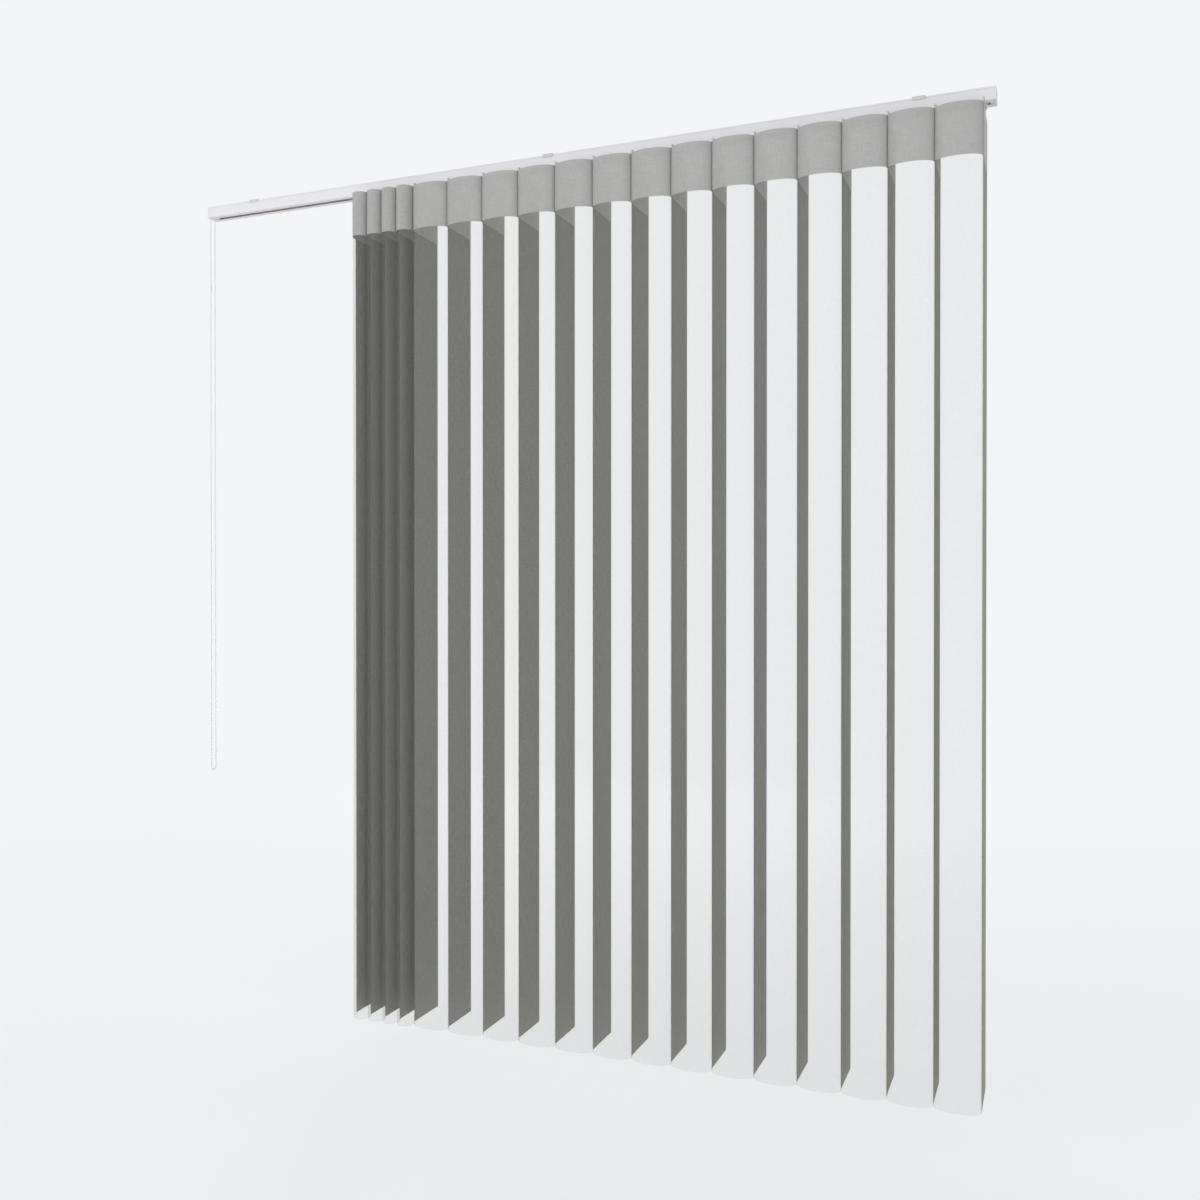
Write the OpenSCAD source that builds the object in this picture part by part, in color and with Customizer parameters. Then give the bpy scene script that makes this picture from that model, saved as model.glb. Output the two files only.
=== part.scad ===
// Vertical blind: a ceiling-fixed headrail, opaque vanes that turn, and a scalloped sheer in front.
// X runs along the rail, Y points to the window and Z is up. The origin is on the ceiling plane,
// over the middle of the rail.

/* [Headrail] */
// Length over the end faces
rail_len = 2230; // [1400:10:3000]
// Depth of the rail section
rail_d = 44; // [40:0.5:60]
// Height of the rail section
rail_h = 32; // [28:0.5:45]
// Wall of the rail section
rail_wall = 1.5; // [1:0.1:2.5]
// Width of the slot along the underside
slot_w = 14; // [12:0.5:18]
// Radius of the outer edges of the section
rail_edge_r = 2; // [1:0.25:4]
// Length of the control housing, with its cover
housing_len = 16; // [14:0.5:30]
// Thickness of the far end cap outside the rail
end_cap_t = 6; // [3:0.5:12]

/* [Vanes] */
// Number of vanes
vane_count = 19; // [8:1:24]
// Width of a vane
vane_w = 127; // [89:1:140]
// Length of a vane
vane_drop = 2267; // [800:1:2800]
// Thickness of the vane cloth
vane_t = 0.8; // [0.5:0.1:1.5]
// Distance between vanes that are drawn out
vane_pitch = 105; // [80:1:125]
// Number of bunched cells at the leading end
bunched_cells = 4; // [1:1:6]
// Distance between bunched vanes
bunched_pitch = 46.5; // [30:0.5:75]
// Distance from the last vane to the far end face
last_inset = 25; // [22:0.5:60]
// Height of the doubled top hem
hem_h = 120; // [60:1:200]
// Thickness of the doubled hem of a vane
vane_hem_t = 1.6; // [1:0.1:2]
// Gap from the rail's underside to the top of the cloth
cloth_gap = 18; // [14:0.5:30]

/* [Sheer] */
// Thickness of the sheer cloth
sheer_t = 0.8; // [0.5:0.1:1.5]
// Extra thickness of the sheer's hem on each side
sheer_hem_extra = 0.3; // [0.2:0.05:0.6]
// Forward bow of a drawn-out cell
sheer_bow = 24; // [12:0.5:40]
// Forward bow of a bunched cell
bunched_bow = 40; // [26:0.5:60]
// How far the sheer hangs below the vanes
sheer_below = 6; // [0:0.5:20]
// Width of the seam that a carrier arm holds
seam_w = 4; // [3:0.5:8]

/* [Carriers] */
// Length of a carrier along the rail
carrier_len = 15; // [12:0.5:18]
// Width of a carrier body across the rail
carrier_w = 24; // [18:0.5:28]
// Radius of a carrier wheel
wheel_r = 4.5; // [3:0.25:6]
// Thickness of a carrier wheel
wheel_t = 4; // [2:0.25:5]
// Radius of the neck that passes through the slot
neck_r = 5; // [4:0.25:6]
// Depth of the neck below the rail
neck_drop = 8.5; // [6:0.5:12]
// Radius of the stub that a vane turns on
stub_r = 2.6; // [1.5:0.1:3.5]
// Depth of the stub in its socket
stub_depth = 5.5; // [3:0.5:8]
// Width of the arm that holds the sheer
arm_w = 5; // [4:0.5:10]
// Thickness of that arm
arm_t = 2; // [1.5:0.25:4]

/* [Tilt drive] */
// Radius of the three-lobed tilt rod
rod_r = 3; // [2:0.25:4]
// Distance of the tilt rod in front of the rail's centre line
rod_front = 5; // [3:0.5:7]
// Diameter of a chain bead
bead_d = 4.5; // [3:0.25:5]
// Distance between chain beads
bead_pitch = 6; // [5.5:0.1:6.5]
// Number of pockets in the chain wheel
pocket_count = 10; // [8:1:10]
// Thickness of the chain wheel
chain_wheel_t = 7; // [6:0.5:9]

/* [Ceiling clips] */
// Length of a clip along the rail
clip_len = 30; // [20:1:60]
// Thickness of a clip
clip_t = 1.5; // [1:0.1:3]
// Distance from the rail's end faces to the outer clips
clip_inset = 170; // [80:5:400]
// Radius of a clip's screw hole
screw_hole_r = 2.25; // [1.5:0.25:3]

/* [Hidden] */
$fn = 48;
// One overrun for every cut
cut = 1;
// Clearance of pieces that move against each other
running_gap = 0.3;
// Clearance of pieces that are pushed together
push_gap = 0.2;

// Levels
rail_top = -clip_t;
rail_under = rail_top - rail_h;
ledge_top = rail_under + rail_wall;
cloth_top = rail_under - cloth_gap;
neck_end = rail_under - neck_drop;
vane_end = cloth_top - vane_drop;
sheer_end = vane_end - sheer_below;
stub_top = neck_end + stub_depth;
rod_z = rail_top - rail_h / 2 + rail_wall;
rod_y = -rod_front;

// Places along the rail
left_face = -rail_len / 2;
right_face = rail_len / 2;
channel_from = left_face + housing_len;
channel_to = right_face - end_cap_t;
last_x = right_face - last_inset;
first_drawn = bunched_cells + 1;
function drawn_x(i) = last_x - (vane_count - i) * vane_pitch;
function vane_x(i) =
    i >= first_drawn ? drawn_x(i) : drawn_x(first_drawn) - (first_drawn - i) * bunched_pitch;

// Clip grooves in the sides of the rail
groove_depth = 1;
groove_h = 1.6;
groove_drop = 4;
groove_back_h = 8;
groove_back_t = 1;
clip_leg_below = 1.4;
clip_lip = groove_depth - push_gap;

// Trough along the top of the rail, for the heads of the clip screws
trough_w = 12;
trough_h = 3;

// Carrier body
body_under = ledge_top + 1.2;
body_top = rail_top - trough_h - rail_wall - 1;
body_corner = 3;
axle_z = ledge_top + running_gap + wheel_r;
axle_r = 1.6;
wheel_gap = 0.5;
tyre_groove_depth = 0.6;
tyre_groove_w = 1.2;

// Sheer
vane_front = -vane_w / 2;
seam_back = vane_front - running_gap;
seam_t = 1;
post_w = 3;
post_t = 2;

// Vane hanger
hanger_w = 16;
hanger_t = 2;
hanger_sunk = 20;
hanger_rise = 6;

// Chain wheel and its housing
pitch_r = pocket_count * bead_pitch / (2 * PI);
rim_r = pitch_r + 1.2;
cavity_r = rim_r + 0.8;
cover_t = 1.5;
cavity_len = chain_wheel_t + 2;
chain_x = left_face + cover_t + cavity_len / 2;
chain_wheel_from = chain_x - chain_wheel_t / 2;
chain_wheel_to = chain_x + chain_wheel_t / 2;
hub_r = 5;
hub_len = 4;
pin_r = 2.2;
pin_len = 4.5;
pocket_gap = 0.15;
pocket_depth_share = 1 / 3;
outlet_r = bead_d / 2 + 0.35;
plug_len = 8;
rod_socket_depth = 6;

// Far end bearing
bush_r = 5;
bush_len = 6;
bush_seat_len = 7;
rod_from = chain_wheel_to + hub_len - rod_socket_depth;
rod_to = channel_to - plug_len + bush_len;

// Chain: half width of the loop's cord in the solid, and the route of the loop as [Y, Z] points
chain_r = bead_d / 2;
chain_route = [
    [-14.5, -27], [-14.5, -60], [-14.5, -120], [-14.5, -240], [-14.5, -360], [-14.5, -480],
    [-14.5, -600], [-14.5, -720], [-14.5, -840], [-14.5, -960], [-14.5, -1080], [-14.5, -1200],
    [-14.5, -1320], [-14.5, -1440], [-14.5, -1560], [-14.5, -1672], [-13.8, -1675.7], [-11.7, -1678.7],
    [-8.6, -1680.8], [-5, -1681.5], [-1.4, -1680.8], [1.7, -1678.7], [3.8, -1675.7], [4.5, -1672],
    [4.5, -1560], [4.5, -1440], [4.5, -1320], [4.5, -1200], [4.5, -1080], [4.5, -960], [4.5, -840],
    [4.5, -720], [4.5, -600], [4.5, -480], [4.5, -360], [4.5, -240], [4.5, -120], [4.5, -60], [4.5, -27]
];
chain_sides = 8;
connector_r = 3.6;
connector_len = 16;
connector_z = -244;
connector_wall = connector_r - chain_r - push_gap;

// Names of the repeated nodes, and the list of all nodes
function two_digits(i) = str(i < 10 ? "0" : "", i);
function carrier_name(i) = str("carrier_", two_digits(i));
function vane_name(i) = str("vane_", two_digits(i));
function clip_name(i) = ["ceiling_clip_left", "ceiling_clip_middle", "ceiling_clip_right"][i];
clip_places = [left_face + clip_inset, 0, right_face - clip_inset];

// A rectangle with round corners, centred
module round_rect(w, h, r) {
    square([w - 2 * r, h], center = true);
    square([w, h - 2 * r], center = true);
    for (x = [-1, 1], y = [-1, 1])
        translate([x * (w / 2 - r), y * (h / 2 - r)]) circle(r);
}

// Extrudes a section drawn in Y and Z along the rail
module along_rail(from, to) {
    translate([from, 0, 0]) rotate([90, 0, 90]) linear_extrude(to - from) children();
}

// A cylinder along the rail
module rail_cylinder(r, from, to) {
    translate([from, 0, 0]) rotate([0, 90, 0]) cylinder(r = r, h = to - from);
}

// The outline of the rail in Y and Z, at its height under the ceiling
module rail_outline() {
    translate([0, rail_top - rail_h / 2]) round_rect(rail_d, rail_h, rail_edge_r);
}

// The inner space of the rail, less a gap on every side
module rail_space(gap = 0) {
    translate([0, rail_top - rail_h / 2])
        square([rail_d - 2 * (rail_wall + gap), rail_h - 2 * (rail_wall + gap)], center = true);
}

// The pieces behind the clip grooves, on both sides of the rail's inner space
module groove_backs(gap = 0) {
    for (s = [-1, 1])
        translate([s * (rail_d / 2 - rail_wall - groove_back_t / 2), rail_top - groove_back_h / 2])
            square([groove_back_t + 2 * gap, groove_back_h + 2 * gap], center = true);
}

// The piece around the trough, in the rail's inner space
module trough_back(gap = 0) {
    translate([0, rail_top - (trough_h + rail_wall) / 2])
        square([trough_w + 2 * (rail_wall + gap), trough_h + rail_wall + 2 * gap], center = true);
}

module rail_section() {
    difference() {
        rail_outline();
        difference() {
            rail_space();
            groove_backs();
            trough_back();
        }
        translate([0, rail_top - trough_h / 2 + cut / 2]) square([trough_w, trough_h + cut], center = true);
        translate([0, ledge_top - rail_wall / 2]) square([slot_w, rail_wall + 2 * cut], center = true);
        for (s = [-1, 1])
            translate([s * rail_d / 2, rail_top - groove_drop - groove_h / 2])
                square([2 * groove_depth, groove_h], center = true);
    }
}

module headrail() {
    color("whitesmoke") along_rail(channel_from, channel_to) rail_section();
}

// The plug by which an end piece sits in the rail
module end_plug(from, to) {
    along_rail(from, to)
        difference() {
            rail_space(push_gap);
            groove_backs(push_gap);
            trough_back(push_gap);
        }
}

module control_housing() {
    color("white")
        difference() {
            union() {
                along_rail(left_face + cover_t, channel_from) rail_outline();
                end_plug(channel_from, channel_from + plug_len);
            }
            translate([0, rod_y, rod_z]) {
                rail_cylinder(cavity_r, left_face, left_face + cover_t + cavity_len);
                rail_cylinder(hub_r + running_gap, left_face, channel_from + plug_len + cut);
            }
            for (s = [-1, 1])
                translate([chain_x, rod_y + s * pitch_r, rail_under - cut])
                    cylinder(r = outlet_r, h = rod_z - rail_under);
        }
}

module control_cover() {
    color("white") {
        along_rail(left_face, left_face + cover_t) rail_outline();
        translate([0, rod_y, rod_z]) rail_cylinder(pin_r, left_face + cover_t, left_face + cover_t + pin_len);
    }
}

module far_end_cap() {
    color("white")
        difference() {
            union() {
                along_rail(channel_to, right_face) rail_outline();
                end_plug(channel_to - plug_len, channel_to);
            }
            translate([0, rod_y, rod_z])
                rail_cylinder(bush_r, channel_to - plug_len - cut, channel_to - plug_len + bush_seat_len);
        }
}

module rod_bearing() {
    color("lightgray")
        translate([0, rod_y, rod_z])
            difference() {
                rail_cylinder(bush_r, channel_to - plug_len + push_gap, channel_to - plug_len + bush_len);
                rail_cylinder(rod_r + running_gap, channel_to - plug_len - cut, channel_to);
            }
}

// Three round lobes on a core
module rod_section() {
    lobe_r = rod_r / 2;
    circle(rod_r * 2 / 3);
    for (a = [0:120:240]) rotate(a) translate([rod_r - lobe_r, 0]) circle(lobe_r);
}

module tilt_rod() {
    color("silver") translate([0, rod_y, rod_z]) along_rail(rod_from, rod_to) rod_section();
}

module chain_wheel() {
    color("gainsboro")
        translate([0, rod_y, rod_z])
            difference() {
                union() {
                    rail_cylinder(rim_r, chain_wheel_from, chain_wheel_to);
                    rail_cylinder(hub_r, chain_wheel_to, chain_wheel_to + hub_len);
                }
                for (k = [0:pocket_count - 1])
                    rotate([k * 360 / pocket_count, 0, 0])
                        translate([chain_x, 0, pitch_r - bead_d * pocket_depth_share])
                            cylinder(r = bead_d / 2 + pocket_gap, h = bead_d);
                rail_cylinder(pin_r + running_gap, chain_wheel_from - cut, chain_wheel_from + pin_len);
                rail_cylinder(rod_r + push_gap, rod_from, chain_wheel_to + hub_len + cut);
            }
}

// The direction of the chain's route at point k
function route_step(k) =
    let (a = chain_route[max(k - 1, 0)], b = chain_route[min(k + 1, len(chain_route) - 1)], d = b - a)
    d / norm(d);
function route_ring(k) =
    let (p = chain_route[k], t = route_step(k))
    [for (s = [0:chain_sides - 1])
        let (a = s * 360 / chain_sides, u = chain_r * cos(a), v = chain_r * sin(a))
        [chain_x + u, p[0] + v * t[1], p[1] - v * t[0]]];

module bead_chain() {
    rings = len(chain_route);
    points = [for (k = [0:rings - 1]) each route_ring(k)];
    sides = [for (k = [0:rings - 2], s = [0:chain_sides - 1])
        let (a = k * chain_sides, n = (s + 1) % chain_sides)
        [a + s, a + n, a + n + chain_sides, a + s + chain_sides]];
    first = [for (s = [chain_sides - 1:-1:0]) s];
    last = [for (s = [0:chain_sides - 1]) (rings - 1) * chain_sides + s];
    color("ivory") polyhedron(points, concat(sides, [first, last]));
}

// A split sleeve on the front strand
module chain_connector() {
    color("white")
        translate([chain_x, chain_route[0][0], connector_z - connector_len / 2])
            difference() {
                cylinder(r = connector_r, h = connector_len);
                translate([0, 0, -cut]) cylinder(r = connector_r - connector_wall, h = connector_len + 2 * cut);
            }
}

// Plan of one bowed cell between two seams, spread by extra on both faces
module bowed_cell(width, bow, extra) {
    half = width / 2;
    r = bow < half ? (half * half + bow * bow) / (2 * bow) : half;
    centre = r - bow;
    intersection() {
        translate([0, centre]) bow_ring(r, max(-centre, 0), extra);
        translate([0, -bow / 2 - extra]) square([width + 2 * r, bow + 2 * extra], center = true);
    }
}

// A ring, or a ring with straight legs behind it
module bow_ring(r, leg, extra) {
    difference() {
        union() {
            circle(r + extra);
            if (leg > 0) translate([-r - extra, 0]) square([2 * (r + extra), leg]);
        }
        circle(r - sheer_t - extra);
        if (leg > 0)
            translate([extra + sheer_t - r, 0]) square([2 * (r - sheer_t - extra), leg + cut]);
    }
}

// Plan of the whole sheer, with a flat seam at each vane
module sheer_plan(extra) {
    translate([0, seam_back]) {
        for (i = [1:vane_count - 1]) {
            width = vane_x(i + 1) - vane_x(i);
            translate([vane_x(i) + width / 2, 0])
                bowed_cell(width, i < first_drawn ? bunched_bow : sheer_bow, extra);
        }
        for (i = [1:vane_count])
            translate([vane_x(i) - seam_w / 2, -seam_t]) square([seam_w, seam_t]);
    }
}

module sheer() {
    color("lightgray", 0.6) {
        translate([0, 0, sheer_end]) linear_extrude(cloth_top - sheer_end) sheer_plan(0);
        translate([0, 0, cloth_top - hem_h]) linear_extrude(hem_h) sheer_plan(sheer_hem_extra);
    }
}

// A clip that lies on the rail and hooks into both of its grooves
module ceiling_clip(x) {
    leg_in = rail_d / 2 + push_gap;
    leg_end = rail_top - groove_drop - groove_h - clip_leg_below;
    lip_z = rail_top - groove_drop - groove_h + push_gap;
    color("white")
        difference() {
            along_rail(x - clip_len / 2, x + clip_len / 2) {
                translate([-leg_in - clip_t, rail_top]) square([2 * (leg_in + clip_t), clip_t]);
                for (s = [0, 1])
                    mirror([s, 0]) {
                        translate([leg_in, leg_end]) square([clip_t, -leg_end]);
                        translate([leg_in - push_gap - clip_lip, lip_z])
                            square([push_gap + clip_lip + clip_t, groove_h - 2 * push_gap]);
                    }
            }
            translate([x, 0, rail_top - cut]) cylinder(r = screw_hole_r, h = clip_t + 2 * cut);
        }
}

// Section of a carrier body, with its upper edges cut back
module carrier_section() {
    half = carrier_w / 2;
    polygon([
        [-half, body_under], [half, body_under], [half, body_top - body_corner],
        [half - body_corner, body_top], [body_corner - half, body_top], [-half, body_top - body_corner]
    ]);
}

// A wheel with a grooved tread, turned about Y and standing on the ledge
module carrier_wheel() {
    rotate([90, 0, 0])
        rotate_extrude()
            difference() {
                translate([0, -wheel_t / 2]) square([wheel_r, wheel_t]);
                translate([wheel_r - tyre_groove_depth, -tyre_groove_w / 2])
                    square([tyre_groove_depth + cut, tyre_groove_w]);
            }
}

module carrier(x) {
    wheel_y = carrier_w / 2 + wheel_gap + wheel_t / 2;
    arm_from = seam_back - seam_t;
    color("white")
        translate([x, 0, 0])
            difference() {
                union() {
                    along_rail(-carrier_len / 2, carrier_len / 2) carrier_section();
                    for (s = [-1, 1]) translate([0, s * wheel_y, axle_z]) carrier_wheel();
                    translate([0, wheel_y, axle_z]) rotate([90, 0, 0]) cylinder(r = axle_r, h = 2 * wheel_y);
                    translate([0, 0, neck_end]) cylinder(r = neck_r, h = body_under - neck_end);
                    translate([-arm_w / 2, arm_from, neck_end]) cube([arm_w, -arm_from, arm_t]);
                    translate([-post_w / 2, arm_from, cloth_top + running_gap])
                        cube([post_w, post_t, neck_end + arm_t - cloth_top - running_gap]);
                }
                translate([0, 0, neck_end - cut])
                    cylinder(r = stub_r + running_gap, h = stub_depth + running_gap + cut);
                translate([0, rod_y, rod_z]) rail_cylinder(rod_r + running_gap, -carrier_len, carrier_len);
            }
}

// A flat vane with a doubled hem, a hanger in the hem and the stub that it turns on
module vane(x) {
    color("dimgray")
        translate([x, 0, 0]) {
            translate([-vane_t / 2, vane_front, vane_end]) cube([vane_t, vane_w, vane_drop]);
            translate([-vane_hem_t / 2, vane_front, cloth_top - hem_h]) cube([vane_hem_t, vane_w, hem_h]);
            translate([-hanger_t / 2, -hanger_w / 2, cloth_top - hanger_sunk])
                cube([hanger_t, hanger_w, hanger_sunk + hanger_rise]);
            translate([0, 0, cloth_top]) cylinder(r = stub_r, h = stub_top - cloth_top);
        }
}

headrail();
control_housing();
control_cover();
far_end_cap();
rod_bearing();
tilt_rod();
chain_wheel();
bead_chain();
chain_connector();
sheer();
for (i = [0:len(clip_places) - 1])
    ceiling_clip(clip_places[i]);
for (i = [1:vane_count])
    carrier(vane_x(i));
for (i = [1:vane_count])
    vane(vane_x(i));
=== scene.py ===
"""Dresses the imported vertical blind: cloth, bead chain, finishes, camera and studio."""

import math
from collections import namedtuple

import bpy
from bpy.props import FloatProperty, FloatVectorProperty, IntProperty, PointerProperty
from mathutils import Matrix, Vector


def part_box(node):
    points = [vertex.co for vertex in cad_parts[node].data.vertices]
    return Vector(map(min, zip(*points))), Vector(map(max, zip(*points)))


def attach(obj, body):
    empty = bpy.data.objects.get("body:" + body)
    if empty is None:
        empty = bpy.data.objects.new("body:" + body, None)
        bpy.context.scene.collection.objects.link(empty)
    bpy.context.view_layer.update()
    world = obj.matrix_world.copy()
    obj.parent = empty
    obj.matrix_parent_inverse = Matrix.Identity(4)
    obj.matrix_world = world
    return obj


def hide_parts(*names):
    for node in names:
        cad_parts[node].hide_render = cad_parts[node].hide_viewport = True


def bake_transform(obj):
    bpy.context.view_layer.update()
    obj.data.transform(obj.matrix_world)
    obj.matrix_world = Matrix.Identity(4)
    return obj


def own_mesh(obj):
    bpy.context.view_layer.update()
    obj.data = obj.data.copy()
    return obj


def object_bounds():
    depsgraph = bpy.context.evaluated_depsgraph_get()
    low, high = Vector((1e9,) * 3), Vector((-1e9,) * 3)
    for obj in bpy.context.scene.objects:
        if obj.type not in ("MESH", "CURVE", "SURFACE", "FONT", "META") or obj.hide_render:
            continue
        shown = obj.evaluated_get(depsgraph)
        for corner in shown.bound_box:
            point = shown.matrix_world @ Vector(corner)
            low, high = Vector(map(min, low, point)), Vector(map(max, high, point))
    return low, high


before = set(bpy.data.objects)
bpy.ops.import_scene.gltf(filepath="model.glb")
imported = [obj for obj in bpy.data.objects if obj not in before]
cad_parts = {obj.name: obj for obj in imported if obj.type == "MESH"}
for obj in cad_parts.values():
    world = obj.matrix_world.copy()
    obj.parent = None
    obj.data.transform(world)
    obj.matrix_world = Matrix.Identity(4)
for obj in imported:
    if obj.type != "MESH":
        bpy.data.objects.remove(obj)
cad_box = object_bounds()

bl_info = {
    "name": "Vertical Blind",
    "version": (1, 0, 0),
    "blender": (4, 5, 0),
    "location": "View3D > Sidebar > Blind",
    "description": "Builds the cloth, chain and finishes of a vertical blind around its solids",
    "category": "Object",
}

MM = 0.001
RAIL_BODY = "headrail_fixed"

# The row of vanes: their number and the bunched cells
VANES = 19
BUNCHED = 4

# The chain's loop as in the part's source, in millimetres: X of the loop, then Y and Z of each point
CHAIN_X = -1109
CHAIN_ROUTE = [(-14.5, -27), (-14.5, -60)] + [(-14.5, z) for z in range(-120, -1561, -120)]
CHAIN_ROUTE += [
    (-14.5, -1672), (-13.8, -1675.7), (-11.7, -1678.7), (-8.6, -1680.8), (-5, -1681.5),
    (-1.4, -1680.8), (1.7, -1678.7), (3.8, -1675.7), (4.5, -1672),
]
CHAIN_ROUTE += [(4.5, z) for z in range(-1560, -119, 120)] + [(4.5, -60), (4.5, -27)]
BEAD_SIDES = 8
BEAD_RINGS = 6
LINE_SIDES = 6

# The connector: the gap between its halves, their rounded edges and how far the core lies below them
CONNECTOR_WAIST = 1.2 * MM
CONNECTOR_EDGE = 0.9 * MM
CONNECTOR_STEP = 0.7 * MM

# Cloth: its material slots, rows below the hem and in it, and the height in which the hem thickens
PLAIN_CLOTH = 0
HEM_CLOTH = 1
PLAIN_ROWS = 12
HEM_ROW_SHARES = (0.35, 0.7, 1.0)
HEM_STEP = 0.8 * MM

# A vane's thinner side edges and the faces between them
VANE_EDGE = 0.5 * MM
VANE_EDGE_SHARE = 0.35
VANE_COLUMNS = 10

# A vane's hanger: the tab in the hem, the round stub and the collar around it
TAB_HALF_THICKNESS = 1.0 * MM
TAB_HALF_WIDTH = 8.0 * MM
TAB_SUNK = 20 * MM
TAB_RISE = 6 * MM
TAB_EDGE = 0.8 * MM
STUB_RADIUS = 2.6 * MM
STUB_EDGE = 0.4 * MM
COLLAR_STEP = 0.9 * MM
COLLAR_HALF_HEIGHT = 1.2 * MM

# A seam from left to right: side, share of its half width, share of its thickness
SEAM_SHARES = ((-1, 1, 0.4), (-1, 0.8, 1), (1, 0.8, 1), (1, 1, 0.4))

# The straight legs of a deep bow, and how far the weave moves on from cell to cell
LEG_STEPS = 4
WEAVE_SHIFT = 0.13

# Noise that makes threads uneven, in repeats per metre across a thread and along it
SLUB_SCALES = (420, 36)
OPEN_SCALES = (520, 44)

# What each part of a pattern adds to its tone, which lies around the middle of its span
WEAVE_TONE_SHARES = (0.25, 0.75)
OPEN_TONE_SHARES = (0.35, 0.3)
SKIN_TONE_SHARES = (0.3, 0.7)
MIDDLE_TONE = 0.5
TONE_SPAN = (0.3, 0.7)

SMOOTH_ANGLE = math.radians(35)

# The stage: places and sizes in metres, angles in degrees, lens and sensor in millimetres, power in watts
VIEW_PLACE = (1.265, -2.8005, -1.155)
VIEW_TILT = 89.704
VIEW_TURN = 21.91
VIEW_SENSOR = 36
VIEW_REACH = 60
FLOOR_SIZE = 120
FLOOR_DROP = 0.09
FLOOR_FADE_REACH = (2.6, 6.0)
FLOOR_FADE_SHARES = (0.68, 1.0)
WORLD_STRENGTH = 0.64
LAMP_SIZE = 3.0

# Each lamp's name, place, target and power
LAMPS = (
    ("Key", (-3.2, -7.0, 0.0), (0.2, 0, -1.3), 165),
    ("Fill", (5.4, -5.4, 0.0), (0.2, 0, -1.3), 55),
    ("Back", (-2.2, 7.0, 0.0), (0, 0, -1.3), 200),
)

# One row of a cloth: its height, its extra thickness and the material of the strip above it
Row = namedtuple("Row", "height extra material")


def screen_colour(r, g, b):
    """A colour as seen on a screen, 0 to 255, as scene-linear values."""
    return tuple(
        c / 12.92 if c <= 0.04045 else ((c + 0.055) / 1.055) ** 2.4
        for c in (r / 255, g / 255, b / 255)
    )


def colour_property(name, description, rgb):
    return FloatVectorProperty(
        name=name, description=description, subtype="COLOR", size=3, min=0, max=1,
        default=screen_colour(*rgb),
    )


def length_property(name, description, millimetres):
    return FloatProperty(
        name=name, description=description, default=millimetres * MM, min=0, unit="LENGTH",
        precision=4,
    )


class BlindSizes(bpy.types.PropertyGroup):
    """Sizes of the cloth, the chain and the view."""

    hem_height: length_property("Hem height", "Height of the doubled hem", 120)
    vane_thickness: length_property("Vane thickness", "Thickness of the vane cloth", 0.8)
    vane_hem_thickness: length_property("Vane hem", "Thickness of the doubled vane hem", 1.6)
    sheer_thickness: length_property("Sheer thickness", "Thickness of the sheer", 0.8)
    sheer_hem_extra: length_property("Sheer hem", "Extra thickness of the hem on each side", 0.3)
    drawn_bow: length_property("Drawn bow", "Forward bow of a drawn-out cell", 24)
    bunched_bow: length_property("Bunched bow", "Forward bow of a bunched cell", 31)
    seam_width: length_property("Seam width", "Width of the seam at each vane", 4)
    seam_thickness: length_property("Seam thickness", "Thickness of that seam", 1)
    seam_gap: length_property("Seam gap", "Gap from a vane's edge to its seam", 0.3)
    bead_diameter: length_property("Bead diameter", "Diameter of a chain bead", 4.5)
    bead_pitch: length_property("Bead pitch", "Distance between chain beads", 6)
    link_diameter: length_property("Link diameter", "Diameter of the line between beads", 1.3)
    arc_columns: IntProperty(
        name="Arc columns", description="Faces across one cell", default=28, min=8, max=64,
    )
    lens: FloatProperty(
        name="Lens", description="Focal length on a 36 mm frame", default=34.8, min=10, max=200,
        unit="CAMERA",
    )


class BlindColours(bpy.types.PropertyGroup):
    """Colours of the finishes and the studio."""

    vane: colour_property("Vane", "Opaque vane cloth", (154, 155, 149))
    vane_hem: colour_property("Vane hem", "Doubled hem of a vane", (192, 192, 188))
    sheer: colour_property("Sheer", "Sheer front cloth", (156, 156, 152))
    sheer_hem: colour_property("Sheer hem", "Doubled hem of the sheer", (184, 185, 183))
    rail: colour_property("Rail", "Painted headrail", (228, 227, 230))
    cap: colour_property("Cap", "End pieces", (226, 225, 224))
    # Carrier white is greyed a little below the rail's: partly the plastic's own colour, partly painted
    # shade for carriers and hangers in the shadow under the rail
    carrier: colour_property("Carrier", "Carriers and inner plastics", (206, 206, 204))
    # Clip white is greyed a little: partly the clip's own colour, partly painted shade for clips that sit
    # in shadow
    clip: colour_property("Clip", "Ceiling clips", (206, 205, 204))
    rod: colour_property("Rod", "Drawn aluminium rod", (190, 191, 194))
    chain: colour_property("Chain", "Beads and connector", (235, 235, 233))
    floor: colour_property("Floor", "Studio floor", (243, 243, 244))
    backdrop: colour_property("Backdrop", "Studio background", (244, 245, 247))


def sizes():
    return bpy.context.scene.blind_sizes


def colours():
    return bpy.context.scene.blind_colours


def vane_name(i):
    return f"vane_{i:02d}"


def carrier_name(i):
    return f"carrier_{i:02d}"


def carrier_body(i):
    """The body that carries vane i: the last carrier is fixed to the rail."""
    return RAIL_BODY if i == VANES else carrier_name(i)


def vane_x(i):
    low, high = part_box(vane_name(i))
    return (low.x + high.x) / 2


def cloth_top():
    """Height of the upper edge that the vanes and the sheer share."""
    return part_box("sheer")[1].z


# Shader parts


def node_group(name, inputs, outputs):
    """A shader group with a vector, float inputs (name, default) and the named float outputs."""
    group = bpy.data.node_groups.new(name, "ShaderNodeTree")
    group.interface.new_socket("Vector", in_out="INPUT", socket_type="NodeSocketVector")
    for label, default in inputs:
        socket = group.interface.new_socket(label, in_out="INPUT", socket_type="NodeSocketFloat")
        socket.default_value = default
    for label in outputs:
        group.interface.new_socket(label, in_out="OUTPUT", socket_type="NodeSocketFloat")
    return group, group.nodes.new("NodeGroupInput"), group.nodes.new("NodeGroupOutput")


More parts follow.
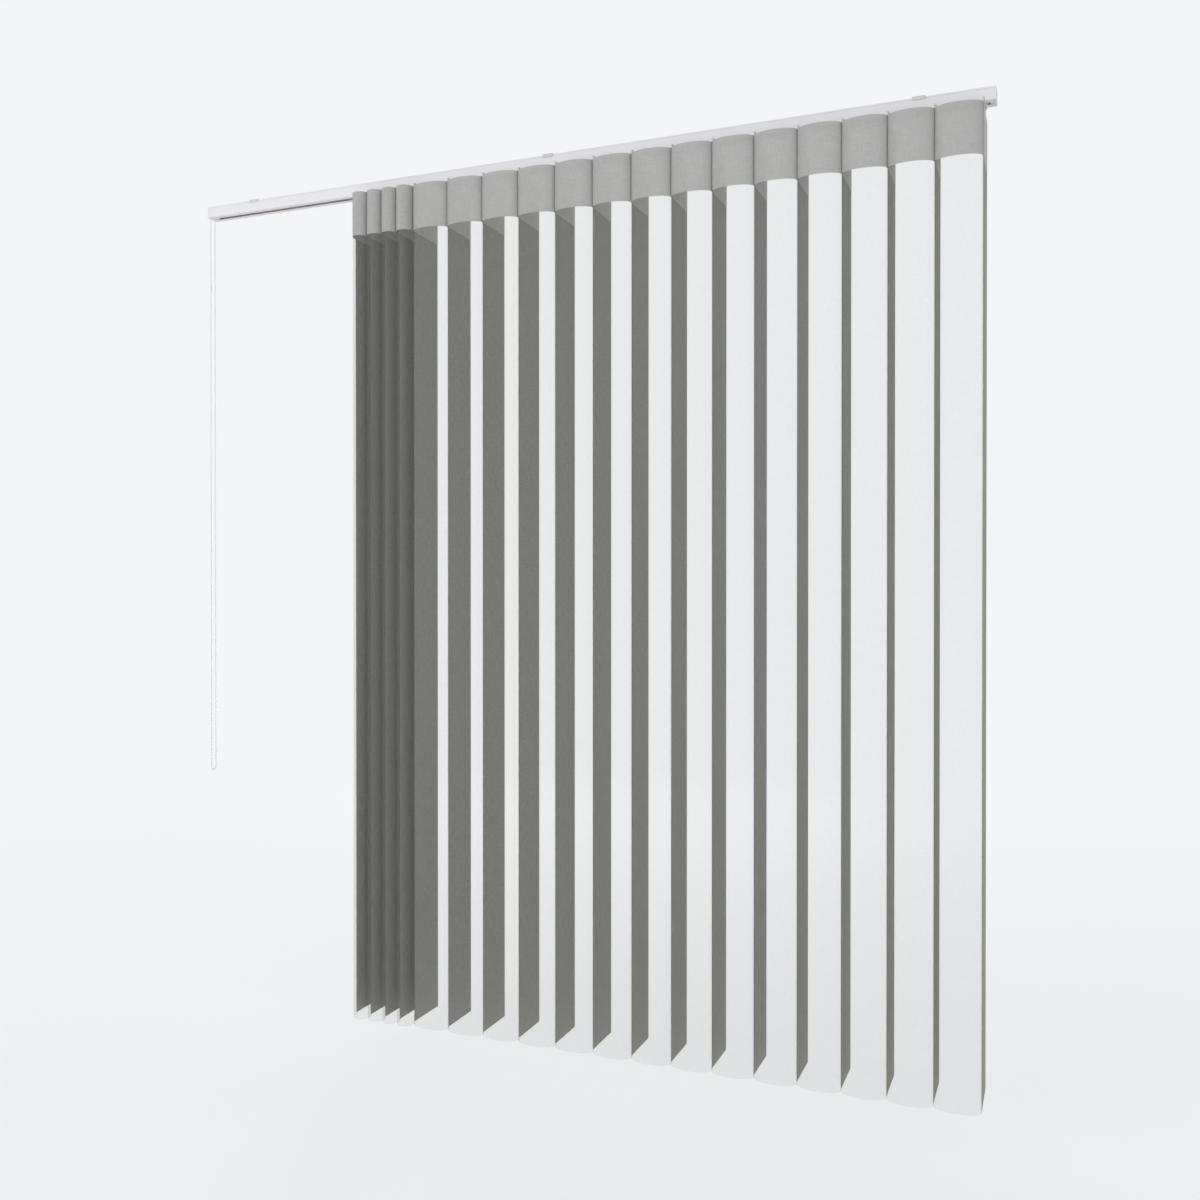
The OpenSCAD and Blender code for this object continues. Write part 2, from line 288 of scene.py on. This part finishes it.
def math_node(tree, operation, a, b):
    node = tree.nodes.new("ShaderNodeMath")
    node.operation = operation
    for socket, value in zip(node.inputs, (a, b)):
        if hasattr(value, "is_linked"):
            tree.links.new(value, socket)
        else:
            socket.default_value = value
    return node.outputs[0]


def mean_node(tree, a, b):
    return math_node(tree, "MULTIPLY", math_node(tree, "ADD", a, b), 0.5)


def weighted_node(tree, a, b, shares):
    """The sum of a and b, each times its share."""
    parts = [math_node(tree, "MULTIPLY", part, share) for part, share in zip((a, b), shares)]
    return math_node(tree, "ADD", *parts)


def range_node(tree, value, span, result):
    """Carries a value from its span (low, high) over to the result's."""
    node = tree.nodes.new("ShaderNodeMapRange")
    for label, number in zip(("From Min", "From Max", "To Min", "To Max"), (*span, *result)):
        node.inputs[label].default_value = number
    tree.links.new(value, node.inputs["Value"])
    return node


def noise_node(tree, vector, scale, detail=2.0):
    node = tree.nodes.new("ShaderNodeTexNoise")
    node.inputs["Detail"].default_value = detail
    tree.links.new(vector, node.inputs["Vector"])
    if hasattr(scale, "is_linked"):
        tree.links.new(scale, node.inputs["Scale"])
    else:
        node.inputs["Scale"].default_value = scale
    return node.outputs["Fac"]


def thread_noises(tree, vector, scales, detail=2.0):
    """Two noises, one drawn out along the upright threads and one along those across."""
    noises = []
    for x, y in (scales, scales[::-1]):
        mapping = tree.nodes.new("ShaderNodeMapping")
        mapping.inputs["Scale"].default_value = (x, y, 1)
        tree.links.new(vector, mapping.inputs["Vector"])
        noises.append(noise_node(tree, mapping.outputs["Vector"], 1.0, detail))
    return noises


def band_node(tree, vector, direction, scale):
    node = tree.nodes.new("ShaderNodeTexWave")
    node.wave_type = "BANDS"
    node.bands_direction = direction
    node.inputs["Distortion"].default_value = 0
    tree.links.new(vector, node.inputs["Vector"])
    tree.links.new(scale, node.inputs["Scale"])
    return node.outputs["Fac"]


def shader_mix(tree, share, first, second):
    node = tree.nodes.new("ShaderNodeMixShader")
    tree.links.new(share, node.inputs["Fac"])
    tree.links.new(first, node.inputs[1])
    tree.links.new(second, node.inputs[2])
    return node.outputs[0]


def weave_group():
    """Plain weave with slubs: a tone around 0.5 and a height, over a cloth's UV in metres."""
    if "Plain weave" in bpy.data.node_groups:
        return bpy.data.node_groups["Plain weave"]
    tree, start, end = node_group(
        "Plain weave", [("Thread scale", 300.0), ("Slub", 0.5)], ["Tone", "Height"],
    )
    vector = start.outputs["Vector"]
    warp, weft = [band_node(tree, vector, way, start.outputs["Thread scale"]) for way in "XY"]
    threads = mean_node(tree, warp, weft)
    uneven = mean_node(tree, *thread_noises(tree, vector, SLUB_SCALES))
    swing = math_node(tree, "SUBTRACT", uneven, MIDDLE_TONE)
    swing = math_node(tree, "MULTIPLY", swing, start.outputs["Slub"])
    slubs = math_node(tree, "ADD", swing, MIDDLE_TONE)
    tree.links.new(weighted_node(tree, threads, slubs, WEAVE_TONE_SHARES), end.inputs["Tone"])
    tree.links.new(math_node(tree, "ADD", threads, slubs), end.inputs["Height"])
    return tree


def open_weave_group():
    """The sheer's open weave, without the slubs of the denser cloth: a tone around 0.5."""
    if "Open weave" in bpy.data.node_groups:
        return bpy.data.node_groups["Open weave"]
    tree, start, end = node_group("Open weave", [("Thread scale", 420.0)], ["Tone"])
    vector = start.outputs["Vector"]
    uneven = math_node(tree, "ADD", *thread_noises(tree, vector, OPEN_SCALES, detail=0.0))
    threads = band_node(tree, vector, "Y", start.outputs["Thread scale"])
    tree.links.new(weighted_node(tree, uneven, threads, OPEN_TONE_SHARES), end.inputs["Tone"])
    return tree


def skin_group():
    """Fine moulded or painted skin: a tone around 0.5 and a height, over Object coordinates."""
    if "Fine skin" in bpy.data.node_groups:
        return bpy.data.node_groups["Fine skin"]
    tree, start, end = node_group(
        "Fine skin", [("Grain scale", 900.0), ("Cloud scale", 7.0)], ["Tone", "Height"],
    )
    vector = start.outputs["Vector"]
    grain = noise_node(tree, vector, start.outputs["Grain scale"])
    cloud = noise_node(tree, vector, start.outputs["Cloud scale"], detail=4.0)
    tree.links.new(weighted_node(tree, grain, cloud, SKIN_TONE_SHARES), end.inputs["Tone"])
    tree.links.new(grain, end.inputs["Height"])
    return tree


class Finish:
    """A material under construction: its tree, its shader and one pattern group."""

    def __init__(self, name, group, coordinates, **values):
        self.material = bpy.data.materials.new(name)
        self.material.use_nodes = True
        self.tree = self.material.node_tree
        self.shader = self.tree.nodes["Principled BSDF"]
        where = self.tree.nodes.new("ShaderNodeTexCoord")
        self.pattern = self.tree.nodes.new("ShaderNodeGroup")
        self.pattern.node_tree = group
        self.tree.links.new(where.outputs[coordinates], self.pattern.inputs["Vector"])
        for label, value in values.items():
            self.pattern.inputs[label.replace("_", " ")].default_value = value

    def tone(self, low, high):
        """The pattern's tone, carried over to low and high."""
        node = range_node(self.tree, self.pattern.outputs["Tone"], TONE_SPAN, (low, high))
        return node.outputs["Result"]

    def vary(self, socket, low, high):
        self.tree.links.new(self.tone(low, high), self.shader.inputs[socket])

    def colour(self, rgb, spread):
        """Base colour from rgb, darker and lighter by spread with the pattern's tone."""
        mix = self.tree.nodes.new("ShaderNodeMix")
        mix.data_type = "RGBA"
        mix.inputs["A"].default_value = [c * (1 - spread) for c in rgb] + [1]
        mix.inputs["B"].default_value = [min(1, c * (1 + spread)) for c in rgb] + [1]
        self.tree.links.new(self.tone(0, 1), mix.inputs["Factor"])
        self.tree.links.new(mix.outputs["Result"], self.shader.inputs["Base Color"])

    def bump(self, strength, depth):
        node = self.tree.nodes.new("ShaderNodeBump")
        node.inputs["Strength"].default_value = strength
        node.inputs["Distance"].default_value = depth
        self.tree.links.new(self.pattern.outputs["Height"], node.inputs["Height"])
        self.tree.links.new(node.outputs["Normal"], self.shader.inputs["Normal"])


def cloth_finish(name, rgb, spread, thread_scale, slub, alpha=None):
    if name in bpy.data.materials:
        return bpy.data.materials[name]
    finish = Finish(name, weave_group(), "UV", Thread_scale=thread_scale, Slub=slub)
    finish.colour(rgb, spread)
    finish.vary("Roughness", low=0.96, high=0.84)
    finish.bump(strength=0.35, depth=0.4 * MM)
    finish.shader.inputs["Sheen Weight"].default_value = 0.08
    finish.shader.inputs["Specular IOR Level"].default_value = 0.2
    if alpha:
        finish.vary("Alpha", *alpha)
    return finish.material


def sheer_finish(name, rgb, spread, alpha):
    """A cloth so open that most light passes between its threads."""
    if name in bpy.data.materials:
        return bpy.data.materials[name]
    finish = Finish(name, open_weave_group(), "UV")
    finish.colour(rgb, spread)
    finish.vary("Alpha", *alpha)
    finish.shader.inputs["Roughness"].default_value = 0.9
    finish.shader.inputs["Specular IOR Level"].default_value = 0.2
    return finish.material


def hard_finish(name, rgb, spread, rough, metallic=0.0, grain=900.0, bump=0.06):
    if name in bpy.data.materials:
        return bpy.data.materials[name]
    finish = Finish(name, skin_group(), "Object", Grain_scale=grain)
    finish.colour(rgb, spread)
    finish.vary("Roughness", *rough)
    finish.bump(strength=bump, depth=0.2 * MM)
    finish.shader.inputs["Metallic"].default_value = metallic
    return finish.material


def dress(nodes, material):
    """Gives the named solids one material."""
    for node in nodes:
        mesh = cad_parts[node].data
        mesh.materials.clear()
        mesh.materials.append(material)


# Mesh parts


def deselect():
    if bpy.context.object and bpy.context.object.mode != "OBJECT":
        bpy.ops.object.mode_set(mode="OBJECT")
    bpy.ops.object.select_all(action="DESELECT")


def select_only(piece):
    deselect()
    piece.select_set(True)
    bpy.context.view_layer.objects.active = piece


def settle(piece):
    """Puts the piece's place into its mesh and smooths its shallow angles."""
    select_only(piece)
    bpy.ops.object.transform_apply(location=True, rotation=True, scale=True)
    bpy.ops.object.shade_smooth_by_angle(angle=SMOOTH_ANGLE)
    return piece


def copied(piece, name, offset):
    """A copy with a mesh of its own, moved by offset."""
    twin = piece.copy()
    twin.data = piece.data.copy()
    twin.data.transform(Matrix.Translation(offset))
    twin.name = name
    bpy.context.collection.objects.link(twin)
    return twin


def bevelled(piece, width, segments=2):
    select_only(piece)
    bevel = piece.modifiers.new("Edges", "BEVEL")
    bevel.width = width
    bevel.segments = segments
    bevel.limit_method = "ANGLE"
    bpy.ops.object.modifier_apply(modifier=bevel.name)
    return piece


def added_box(low, high):
    deselect()
    bpy.ops.mesh.primitive_cube_add(size=1, location=[(a + b) / 2 for a, b in zip(low, high)])
    bpy.context.object.scale = [b - a for a, b in zip(low, high)]
    bpy.ops.object.transform_apply(location=True, rotation=True, scale=True)
    return bpy.context.object


def added_rod(radius, centre, bottom, top, sides=24):
    """An upright rod around centre, an (x, y) pair."""
    deselect()
    bpy.ops.mesh.primitive_cylinder_add(
        vertices=sides, radius=radius, depth=top - bottom, location=(*centre, (bottom + top) / 2),
    )
    bpy.ops.object.transform_apply(location=True, rotation=True, scale=True)
    return bpy.context.object


def joined(name, pieces):
    deselect()
    for piece in pieces:
        piece.select_set(True)
    bpy.context.view_layer.objects.active = pieces[0]
    bpy.ops.object.join()
    pieces[0].name = name
    return pieces[0]


def cloth_shell(name, columns, rows, materials):
    """A closed thin cloth, where columns(row) gives (front point, back point, u) along a row."""
    grid = [columns(row) for row in rows]
    across = len(grid[0])
    count = across * len(rows)
    fronts = [front for line in grid for front, _, _ in line]
    backs = [back for line in grid for _, back, _ in line]
    faces = []
    slots = []

    def quad(a, b, c, d, slot):
        faces.append((a, b, c, d))
        slots.append(slot)

    for r, row in enumerate(rows[:-1]):
        for c in range(across - 1):
            a = r * across + c
            b = count + a
            quad(a, a + 1, a + across + 1, a + across, row.material)
            quad(b, b + across, b + across + 1, b + 1, row.material)
        for c in (0, across - 1):
            a = r * across + c
            rim = (a, a + across, count + a + across, count + a)
            quad(*(rim if c == 0 else rim[::-1]), row.material)
    for c in range(across - 1):
        top = (len(rows) - 1) * across + c
        quad(c, count + c, count + c + 1, c + 1, rows[0].material)
        quad(top, top + 1, count + top + 1, count + top, rows[-1].material)
    mesh = bpy.data.meshes.new(name)
    mesh.from_pydata(fronts + backs, [], faces)
    for material in materials:
        mesh.materials.append(material)
    mesh.polygons.foreach_set("material_index", slots)
    uv = mesh.uv_layers.new(name="Cloth")
    places = [(u, row.height) for line, row in zip(grid, rows) for _, _, u in line]
    for loop in mesh.loops:
        uv.data[loop.index].uv = places[loop.vertex_index % count]
    mesh.validate()
    piece = bpy.data.objects.new(name, mesh)
    bpy.context.collection.objects.link(piece)
    return settle(piece)


def cloth_rows(bottom, top, hem_height, hem_extra):
    """Rows of a cloth from its bottom to its top, with the step at the foot of its hem."""
    hem_low = top - hem_height
    heights = [bottom + (hem_low - bottom) * k / PLAIN_ROWS for k in range(PLAIN_ROWS)]
    rows = [Row(z, 0.0, PLAIN_CLOTH) for z in heights]
    rows.append(Row(hem_low, 0.0, HEM_CLOTH))
    rows.append(Row(hem_low + HEM_STEP, hem_extra, HEM_CLOTH))
    for share in HEM_ROW_SHARES:
        rows.append(Row(hem_low + hem_height * share, hem_extra, HEM_CLOTH))
    return rows


class BLIND_OT_set_stage(bpy.types.Operator):
    """Sets the camera, the floor, the world and the soft studio lights"""

    bl_idname = "blind.set_stage"
    bl_label = "Set Stage"

    def execute(self, context):
        self.place_view(context)
        self.lay_floor()
        self.light_world(context)
        for lamp in LAMPS:
            self.hang_lamp(context, *lamp)
        return {"FINISHED"}

    def place_view(self, context):
        data = bpy.data.cameras.new("View")
        data.sensor_width = VIEW_SENSOR
        data.lens = sizes().lens
        data.clip_end = VIEW_REACH
        camera = bpy.data.objects.new("View", data)
        camera.location = VIEW_PLACE
        camera.rotation_euler = (math.radians(VIEW_TILT), 0, math.radians(VIEW_TURN))
        context.collection.objects.link(camera)
        context.scene.camera = camera
        context.scene.view_settings.view_transform = "Standard"

    def lay_floor(self):
        deselect()
        level = cad_box[0][2] - FLOOR_DROP
        bpy.ops.mesh.primitive_plane_add(size=FLOOR_SIZE, location=(0, 0, level))
        floor = bpy.context.object
        floor.name = "studio_floor"
        bpy.ops.object.transform_apply(location=True, rotation=True, scale=True)
        floor.data.materials.append(self.floor_finish())

    def floor_finish(self):
        """A pale matte floor that takes the blind's shadow and fades into the background."""
        material = bpy.data.materials.new("Studio floor")
        material.use_nodes = True
        tree = material.node_tree
        shader = tree.nodes["Principled BSDF"]
        shader.inputs["Base Color"].default_value = (*colours().floor, 1)
        shader.inputs["Roughness"].default_value = 0.8
        where = tree.nodes.new("ShaderNodeTexCoord")
        reach = tree.nodes.new("ShaderNodeVectorMath")
        reach.operation = "LENGTH"
        tree.links.new(where.outputs["Object"], reach.inputs[0])
        fade = range_node(tree, reach.outputs["Value"], FLOOR_FADE_REACH, FLOOR_FADE_SHARES)
        fade.interpolation_type = "SMOOTHSTEP"
        path = tree.nodes.new("ShaderNodeLightPath")
        seen = math_node(tree, "MULTIPLY", fade.outputs["Result"], path.outputs["Is Camera Ray"])
        glow = tree.nodes.new("ShaderNodeEmission")
        glow.inputs["Color"].default_value = (*colours().backdrop, 1)
        surface = shader_mix(tree, seen, shader.outputs[0], glow.outputs[0])
        tree.links.new(surface, tree.nodes["Material Output"].inputs["Surface"])
        return material

    def light_world(self, context):
        """An even white light, with the plain backdrop where the background itself is seen."""
        world = context.scene.world or bpy.data.worlds.new("Studio")
        context.scene.world = world
        world.use_nodes = True
        tree = world.node_tree
        tree.nodes.clear()
        seen = tree.nodes.new("ShaderNodeBackground")
        seen.inputs["Color"].default_value = (*colours().backdrop, 1)
        lit = tree.nodes.new("ShaderNodeBackground")
        lit.inputs["Color"].default_value = (1, 1, 1, 1)
        lit.inputs["Strength"].default_value = WORLD_STRENGTH
        path = tree.nodes.new("ShaderNodeLightPath")
        direct = path.outputs["Is Camera Ray"]
        for ray in ("Is Transmission Ray", "Is Glossy Ray"):
            direct = math_node(tree, "MAXIMUM", direct, path.outputs[ray])
        end = tree.nodes.new("ShaderNodeOutputWorld")
        surface = shader_mix(tree, direct, lit.outputs[0], seen.outputs[0])
        tree.links.new(surface, end.inputs["Surface"])

    def hang_lamp(self, context, name, place, target, power):
        data = bpy.data.lights.new(name, "AREA")
        data.size = LAMP_SIZE
        data.energy = power
        lamp = bpy.data.objects.new(name, data)
        lamp.location = place
        aim = Vector(target) - Vector(place)
        lamp.rotation_euler = aim.to_track_quat("-Z", "Y").to_euler()
        context.collection.objects.link(lamp)


class BLIND_OT_hang_chain(bpy.types.Operator):
    """Hangs the bead chain's loop with its connector"""

    bl_idname = "blind.hang_chain"
    bl_label = "Hang Chain"

    def execute(self, context):
        size = sizes()
        plastic = hard_finish(
            "Chain plastic", colours().chain, spread=0.02, rough=(0.3, 0.42), grain=1500.0,
        )
        route = [Vector((CHAIN_X * MM, y * MM, z * MM)) for y, z in CHAIN_ROUTE]
        length = sum((b - a).length for a, b in zip(route, route[1:]))
        chain = self.beads(route, length, size)
        connector = self.connector()
        for piece, node in ((chain, "bead_chain"), (connector, "chain_connector")):
            piece.data.materials.append(plastic)
            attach(piece, RAIL_BODY)
            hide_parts(node)
        return {"FINISHED"}

    def beads(self, route, length, size):
        """Beads at their pitch along the route, on a thin line of their own plastic."""
        deselect()
        bpy.ops.mesh.primitive_uv_sphere_add(
            segments=BEAD_SIDES, ring_count=BEAD_RINGS, radius=size.bead_diameter / 2,
        )
        bead = bpy.context.object
        bead_points = [v.co.copy() for v in bead.data.vertices]
        bead_faces = [tuple(p.vertices) for p in bead.data.polygons]
        bpy.data.objects.remove(bead)
        points = []
        faces = []
        count = round(length / size.bead_pitch)
        for k in range(count + 1):
            base = len(points)
            place = self.along(route, length * k / count)
            points += [p + place for p in bead_points]
            faces += [tuple(base + v for v in f) for f in bead_faces]
        self.add_line(route, size.link_diameter / 2, points, faces)
        mesh = bpy.data.meshes.new("bead_chain_loop")
        mesh.from_pydata(points, [], faces)
        for polygon in mesh.polygons:
            polygon.use_smooth = True
        chain = bpy.data.objects.new("bead_chain_loop", mesh)
        bpy.context.collection.objects.link(chain)
        return chain

    def along(self, route, distance):
        """The point at a distance along the route."""
        for a, b in zip(route, route[1:]):
            step = (b - a).length
            if distance <= step:
                return a + (b - a) * (distance / step)
            distance -= step
        return route[-1]

    def add_line(self, route, radius, points, faces):
        """Adds a closed tube along the route, which lies in a plane square to X."""
        first = len(points)
        last = len(route) - 1
        across = Vector((1, 0, 0))
        for k, place in enumerate(route):
            step = (route[min(k + 1, last)] - route[max(k - 1, 0)]).normalized()
            up = step.cross(across)
            for s in range(LINE_SIDES):
                turn = math.tau * s / LINE_SIDES
                points.append(place + (across * math.cos(turn) + up * math.sin(turn)) * radius)
        for k in range(last):
            ring = first + k * LINE_SIDES
            for s in range(LINE_SIDES):
                a = ring + s
                b = ring + (s + 1) % LINE_SIDES
                faces.append((a, b, b + LINE_SIDES, a + LINE_SIDES))
        faces.append(tuple(first + s for s in reversed(range(LINE_SIDES))))
        faces.append(tuple(first + last * LINE_SIDES + s for s in range(LINE_SIDES)))

    def connector(self):
        """A sleeve with a waist, moulded over the two end beads."""
        low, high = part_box("chain_connector")
        centre = ((low.x + high.x) / 2, (low.y + high.y) / 2)
        radius = (high.x - low.x) / 2
        middle = (low.z + high.z) / 2
        lower = added_rod(radius, centre, low.z, middle - CONNECTOR_WAIST / 2)
        bevelled(lower, CONNECTOR_EDGE)
        upper = added_rod(radius, centre, middle + CONNECTOR_WAIST / 2, high.z)
        bevelled(upper, CONNECTOR_EDGE)
        core = added_rod(
            radius - CONNECTOR_STEP, centre, middle - CONNECTOR_WAIST, middle + CONNECTOR_WAIST,
        )
        return settle(joined("chain_connector_sleeve", [lower, upper, core]))


class BLIND_OT_hang_vanes(bpy.types.Operator):
    """Hangs the opaque vanes with their hems and hangers"""

    bl_idname = "blind.hang_vanes"
    bl_label = "Hang Vanes"

    def execute(self, context):
        first = self.cloth()
        hanger = self.hanger()
        start = vane_x(1)
        for i in range(1, VANES + 1):
            offset = Vector((vane_x(i) - start, 0, 0))
            vane = copied(first, f"vane_cloth_{i:02d}", offset)
            clip = copied(hanger, f"vane_hanger_{i:02d}", offset)
            for piece in (vane, clip):
                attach(piece, vane_name(i))
                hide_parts(vane_name(i))
        bpy.data.objects.remove(first)
        bpy.data.objects.remove(hanger)
        return {"FINISHED"}

    def cloth(self):
        """The first vane's flat cloth, the pattern for all of them."""
        size = sizes()
        colour = colours()
        materials = [
            cloth_finish("Vane cloth", colour.vane, spread=0.24, thread_scale=300.0, slub=1.3),
            cloth_finish("Vane hem cloth", colour.vane_hem, spread=0.18, thread_scale=300.0, slub=1.3),
        ]
        low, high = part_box(vane_name(1))
        x = vane_x(1)
        width = high.y - low.y - 2 * VANE_EDGE
        places = [(low.y, VANE_EDGE_SHARE)]
        for k in range(VANE_COLUMNS + 1):
            places.append((low.y + VANE_EDGE + width * k / VANE_COLUMNS, 1.0))
        places.append((high.y, VANE_EDGE_SHARE))
        half_thickness = size.vane_thickness / 2
        hem_extra = (size.vane_hem_thickness - size.vane_thickness) / 2

        def columns(row):
            line = []
            for y, share in places:
                half = (half_thickness + row.extra) * share
                line.append(((x + half, y, row.height), (x - half, y, row.height), y))
            return line

        rows = cloth_rows(low.z, cloth_top(), size.hem_height, hem_extra)
        return cloth_shell("vane_pattern", columns, rows, materials)

    def hanger(self):
        """A flat tab with rounded edges, the round stub above it and a collar between them."""
        x = vane_x(1)
        stub_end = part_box(vane_name(1))[1].z
        tab_end = cloth_top() + TAB_RISE
        tab = added_box(
            (x - TAB_HALF_THICKNESS, -TAB_HALF_WIDTH, cloth_top() - TAB_SUNK),
            (x + TAB_HALF_THICKNESS, TAB_HALF_WIDTH, tab_end),
        )
        bevelled(tab, TAB_EDGE)
        stub = added_rod(STUB_RADIUS, (x, 0), cloth_top() + TAB_RISE / 2, stub_end)
        bevelled(stub, STUB_EDGE)
        collar = added_rod(
            STUB_RADIUS + COLLAR_STEP, (x, 0),
            tab_end - COLLAR_HALF_HEIGHT, tab_end + COLLAR_HALF_HEIGHT,
        )
        bevelled(collar, STUB_EDGE)
        piece = settle(joined("hanger_pattern", [tab, stub, collar]))
        # The hanger takes the carrier's white, greyed partly as painted shade
        plastic = hard_finish("Hanger plastic", colours().carrier, spread=0.02, rough=(0.4, 0.55))
        piece.data.materials.append(plastic)
        return piece


class BLIND_OT_hang_sheer(bpy.types.Operator):
    """Hangs the sheer's bowed cells and their seams in front of the vanes"""

    bl_idname = "blind.hang_sheer"
    bl_label = "Hang Sheer"

    def execute(self, context):
        colour = colours()
        cloth = [
            sheer_finish("Sheer cloth", colour.sheer, spread=0.06, alpha=(0.065, 0.095)),
            cloth_finish("Sheer hem cloth", colour.sheer_hem, spread=0.1, thread_scale=420.0,
                         slub=0.8, alpha=(0.74, 0.88)),
        ]
        seams = {i: self.seam(i, cloth) for i in range(1, VANES + 1)}
        for i in range(1, VANES):
            self.cell(i, cloth, seams)
        return {"FINISHED"}

    def seam_line(self):
        """Y of the seams' backs, just in front of the vanes."""
        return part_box(vane_name(1))[0].y - sizes().seam_gap

    def sheer_rows(self, hem_extra):
        low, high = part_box("sheer")
        return cloth_rows(low.z, high.z, sizes().hem_height, hem_extra)

    def seam(self, i, cloth):
        """The folded seam by which a carrier's arm holds the sheer at one vane."""
        size = sizes()
        x = vane_x(i)
        back = self.seam_line()
        half = size.seam_width / 2

        def columns(row):
            line = []
            for side, width_share, depth_share in SEAM_SHARES:
                edge = x + half * side * width_share
                front = (edge, back - size.seam_thickness * depth_share, row.height)
                line.append((front, (edge, back, row.height), half * side))
            return line

        piece = cloth_shell(f"sheer_seam_{i:02d}", columns, self.sheer_rows(0.0), cloth)
        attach(piece, carrier_body(i))
        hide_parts("sheer")
        return piece

    def profile(self, width, bow):
        """Plan of a bow, a half oval with straight legs where it is deeper than half its width:
        (x, y, normal x, normal y) of its outer face, and the length along it."""
        columns = sizes().arc_columns
        half = width / 2
        depth = min(bow, half)
        legs = [(depth - bow) * k / LEG_STEPS for k in range(LEG_STEPS)] if bow > half else []
        plan = [(-half, y, -1.0, 0.0) for y in legs]
        for k in range(columns + 1):
            turn = math.pi * (k / columns - 0.5)
            normal = Vector((math.sin(turn) * depth, -math.cos(turn) * half)).normalized()
            y = depth - bow - depth * math.cos(turn)
            plan.append((half * math.sin(turn), y, normal.x, normal.y))
        plan += [(half, y, 1.0, 0.0) for y in reversed(legs)]
        along = [0.0]
        for a, b in zip(plan, plan[1:]):
            along.append(along[-1] + math.hypot(b[0] - a[0], b[1] - a[1]))
        return plan, along

    def cell(self, i, cloth, seams):
        """The bowed cloth between vane i and the next: it moves with the body that carries the next vane,
        and a bunched cell, bowed deeper, stays fixed.
        """
        size = sizes()
        left = vane_x(i)
        right = vane_x(i + 1)
        middle = (left + right) / 2
        back = self.seam_line()
        bow = size.bunched_bow if i <= BUNCHED else size.drawn_bow
        plan, along = self.profile(right - left, bow)
        start = WEAVE_SHIFT * i

        def columns(row):
            line = []
            for (x, y, nx, ny), u in zip(plan, along):
                front, rear = [
                    (middle + x + nx * out, min(back, back + y + ny * out), row.height)
                    for out in (row.extra, -size.sheer_thickness - row.extra)
                ]
                line.append((front, rear, start + u))
            return line

        rows = self.sheer_rows(size.sheer_hem_extra)
        piece = cloth_shell(f"sheer_cell_{i:02d}", columns, rows, cloth)
        if i <= BUNCHED:
            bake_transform(piece)
        else:
            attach(piece, carrier_body(i + 1))
            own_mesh(piece)
        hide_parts("sheer")


class BLIND_OT_dress_rail(bpy.types.Operator):
    """Finishes the rail, its end pieces and its clips"""

    bl_idname = "blind.dress_rail"
    bl_label = "Dress Rail"

    def execute(self, context):
        colour = colours()
        paint = hard_finish(
            "Rail paint", colour.rail, spread=0.015, rough=(0.32, 0.45), grain=1400.0, bump=0.03,
        )
        cap = hard_finish("Cap plastic", colour.cap, spread=0.02, rough=(0.45, 0.6))
        # Clip white, greyed partly as painted shade
        clip = hard_finish("Clip paint", colour.clip, spread=0.02, rough=(0.35, 0.5), grain=1200.0)
        dress(["headrail"], paint)
        dress(["control_housing", "control_cover", "far_end_cap"], cap)
        dress(["ceiling_clip_left", "ceiling_clip_middle", "ceiling_clip_right"], clip)
        return {"FINISHED"}


class BLIND_OT_dress_drive(bpy.types.Operator):
    """Finishes the carriers, the tilt rod and the chain wheel"""

    bl_idname = "blind.dress_drive"
    bl_label = "Dress Drive"

    def execute(self, context):
        colour = colours()
        # Carrier white, greyed partly as painted shade
        plastic = hard_finish("Carrier plastic", colour.carrier, spread=0.02, rough=(0.4, 0.55))
        metal = hard_finish(
            "Rod aluminium", colour.rod, spread=0.04, rough=(0.3, 0.42), metallic=1.0, grain=700.0,
        )
        dress([carrier_name(i) for i in range(1, VANES + 1)], plastic)
        dress(["rod_bearing", "chain_wheel"], plastic)
        dress(["tilt_rod"], metal)
        return {"FINISHED"}


OPERATORS = (
    BLIND_OT_set_stage, BLIND_OT_hang_chain, BLIND_OT_hang_vanes,
    BLIND_OT_hang_sheer, BLIND_OT_dress_rail, BLIND_OT_dress_drive,
)


class BLIND_PT_panel(bpy.types.Panel):
    """The blind's pieces, sizes and colours"""

    bl_idname = "BLIND_PT_panel"
    bl_label = "Vertical Blind"
    bl_space_type = "VIEW_3D"
    bl_region_type = "UI"
    bl_category = "Blind"

    def draw(self, context):
        for operator in OPERATORS:
            self.layout.operator(operator.bl_idname)
        for group in (context.scene.blind_sizes, context.scene.blind_colours):
            box = self.layout.box()
            for name in group.__annotations__:
                box.prop(group, name)


CLASSES = (BlindSizes, BlindColours, *OPERATORS, BLIND_PT_panel)


def register():
    for cls in CLASSES:
        bpy.utils.register_class(cls)
    bpy.types.Scene.blind_sizes = PointerProperty(type=BlindSizes)
    bpy.types.Scene.blind_colours = PointerProperty(type=BlindColours)


def unregister():
    del bpy.types.Scene.blind_colours
    del bpy.types.Scene.blind_sizes
    for cls in reversed(CLASSES):
        bpy.utils.unregister_class(cls)


def main():
    register()
    bpy.ops.blind.set_stage()
    bpy.ops.blind.hang_chain()
    bpy.ops.blind.hang_vanes()
    bpy.ops.blind.hang_sheer()
    bpy.ops.blind.dress_rail()
    bpy.ops.blind.dress_drive()


if __name__ == "__main__":
    main()
